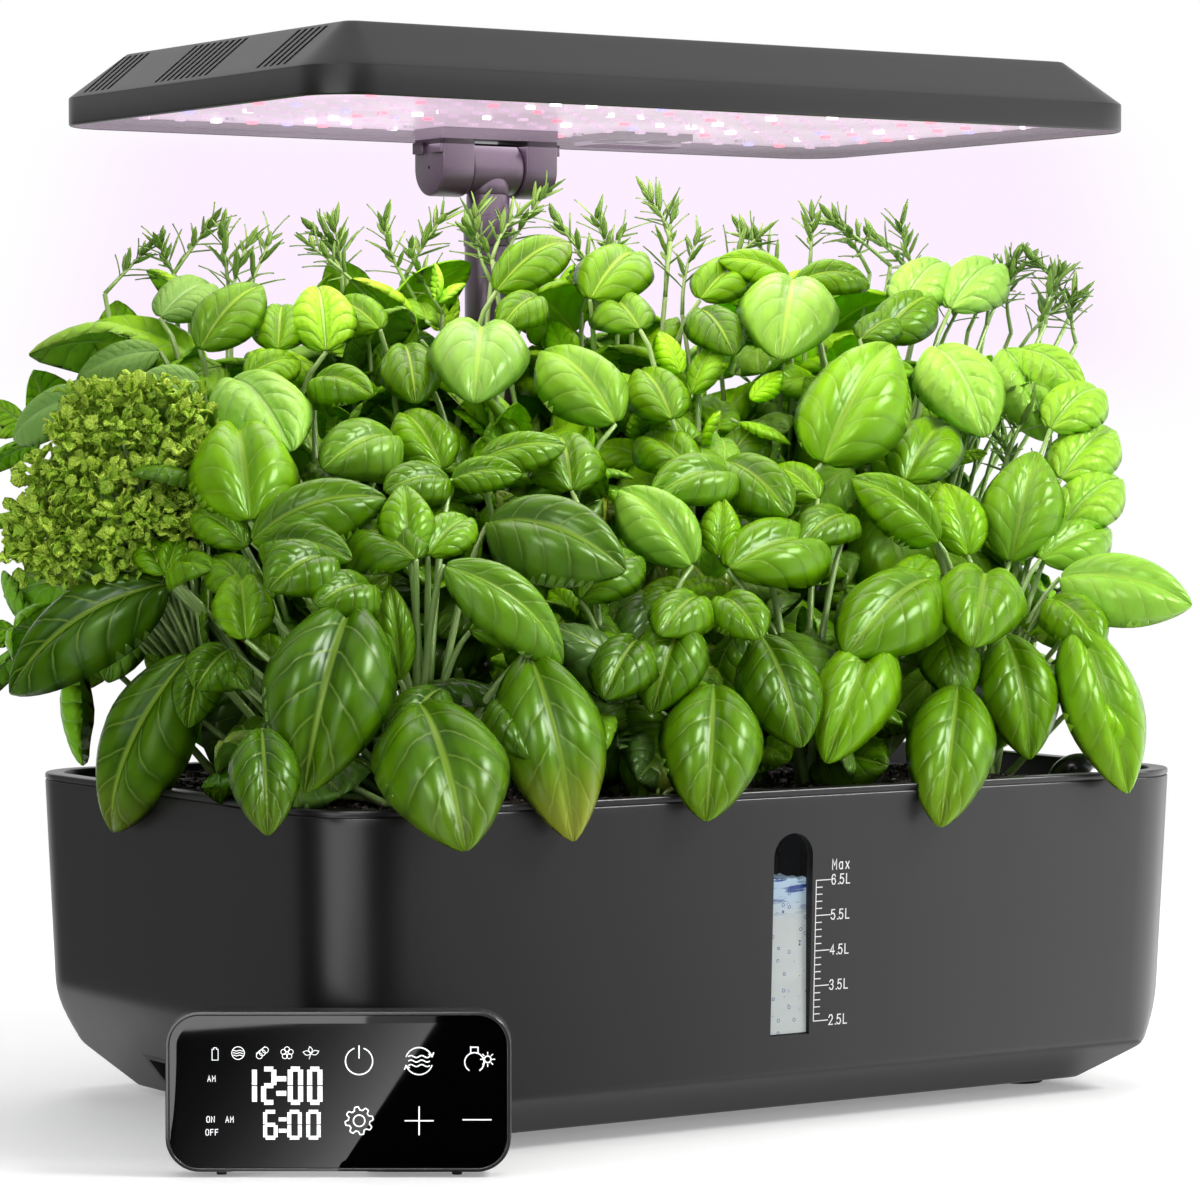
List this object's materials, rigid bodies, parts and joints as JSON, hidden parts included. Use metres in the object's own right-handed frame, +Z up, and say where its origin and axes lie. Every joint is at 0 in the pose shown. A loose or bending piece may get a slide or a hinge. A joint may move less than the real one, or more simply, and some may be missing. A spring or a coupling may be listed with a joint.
{
  "type": "countertop hydroponic garden",
  "caption": "Countertop hydroponic garden: water tank with level window, planted lid, telescopic mast, tilting grow lamp with fan, and a free-standing control console.",
  "frame": {"origin": "bottom centre of the whole set's box, on the surface that the garden stands on", "axes": "+Z up; +X to the right along the tank's length, seen from the front; +Y to the back; the level window faces -Y"},
  "size_m": [0.462, 0.2864, 0.3878],
  "materials": {
    "tank_plastic": "satin charcoal, finely moulded",
    "lid_plastic": "satin charcoal",
    "foot_rubber": "matt",
    "seal_rubber": "matt",
    "window_clear": "clear, polished",
    "inlet_plastic": "matt black",
    "pump_plastic": "matt black",
    "pump_shaft_steel": "ground",
    "impeller_plastic": "white",
    "magnet_coating": "sealed black",
    "basket_plastic": "satin black",
    "sponge_foam": "open-cell white foam",
    "soil": "dark crumbly peat",
    "cap_plastic": "satin black",
    "mast_plastic": "satin charcoal, tinted by the lamp",
    "mast_tube_metal": "satin charcoal paint",
    "screw_steel": "zinc plated",
    "washer_plastic": "natural white",
    "lamp_plastic": "satin charcoal",
    "lens_clear": "clear, lightly frosted",
    "board_enamel": "white solder mask on an aluminium core",
    "led_white": "lit, warm white",
    "led_red": "lit, red",
    "led_blue": "lit, blue",
    "fan_plastic": "matt black",
    "circuit_board": "green solder mask",
    "component": "black epoxy",
    "console_plastic": "piano black",
    "console_face": "polished black glass with lit white signs",
    "console_frame": "polished dark rim",
    "battery_foil": "foil",
    "foliage": "fresh green leaves"
  },
  "bodies": {
    "tank": {"tank_shell": "tank_plastic", "tank_feet": "foot_rubber", "window_gasket": "seal_rubber", "level_window": "window_clear", "power_inlet": "inlet_plastic", "pump_housing": "pump_plastic", "pump_cover": "pump_plastic", "pump_suction_cups": "foot_rubber", "pump_shaft": "pump_shaft_steel"},
    "impeller": {"impeller": "impeller_plastic", "impeller_magnet": "magnet_coating"},
    "lid": {"planting_lid": "lid_plastic", "soil_bed": "soil", "pod_baskets": "basket_plastic", "pod_sponges": "sponge_foam", "mast_socket": "mast_plastic", "socket_screws": "screw_steel", "outer_tube": "mast_tube_metal", "tube_collar": "mast_plastic", "plant_front_1": "foliage", "plant_front_2": "foliage", "plant_front_3": "foliage", "plant_front_4": "foliage", "plant_middle_1": "foliage", "plant_middle_2": "foliage", "plant_middle_3": "foliage", "plant_middle_4": "foliage", "plant_back_1": "foliage", "plant_back_2": "foliage", "plant_back_3": "foliage", "plant_back_4": "foliage"},
    "refill_cap": {"refill_cap": "cap_plastic", "cap_seal": "seal_rubber"},
    "mast": {"inner_tube": "mast_tube_metal", "hinge_knuckle": "mast_plastic", "neck_screw": "screw_steel", "hinge_washers": "washer_plastic"},
    "lamp": {"hinge_bracket": "mast_plastic", "hinge_pin": "screw_steel", "lamp_housing": "lamp_plastic", "lamp_lens": "lens_clear", "light_board": "board_enamel", "lamp_screws": "screw_steel", "white_leds": "led_white", "red_leds": "led_red", "blue_leds": "led_blue", "fan_frame": "fan_plastic", "driver_board": "circuit_board", "driver_parts": "component"},
    "fan": {"fan_rotor": "fan_plastic"},
    "console": {"console_rim": "console_frame", "console_glass": "console_face", "console_shell": "console_plastic", "console_board": "circuit_board", "console_display": "component", "console_touch_pad": "component", "console_battery": "battery_foil", "console_stand": "console_plastic", "console_pads": "foot_rubber"}
  },
  "joints": [
    {"name": "impeller_spin", "type": "hinge", "parent": "tank", "child": "impeller", "pos_m": [0.098, 0.04505, 0.025], "axis": [0, 0, 1], "continuous": true},
    {"name": "lid_lift", "type": "slide", "parent": "tank", "child": "lid", "axis": [0, 0, 1], "range_m": [0, 0.08]},
    {"name": "refill_cap_lift", "type": "slide", "parent": "lid", "child": "refill_cap", "axis": [0, 0, 1], "range_m": [0, 0.02]},
    {"name": "mast_slide", "type": "slide", "parent": "lid", "child": "mast", "axis": [0, 0, 1], "range_m": [0, 0.15]},
    {"name": "lamp_tilt", "type": "hinge", "parent": "mast", "child": "lamp", "pos_m": [0.011, 0.10505, 0.3499], "axis": [-1, 0, 0], "range_deg": [0, 75]},
    {"name": "fan_spin", "type": "hinge", "parent": "lamp", "child": "fan", "pos_m": [0.0757, 0.09905, 0.3657], "axis": [0, 0, 1], "continuous": true},
    {"name": "console_take", "type": "slide", "parent": "tank", "child": "console", "axis": [-0.5159, -0.7854, 0.342], "range_m": [0, 0.06]}
  ]
}
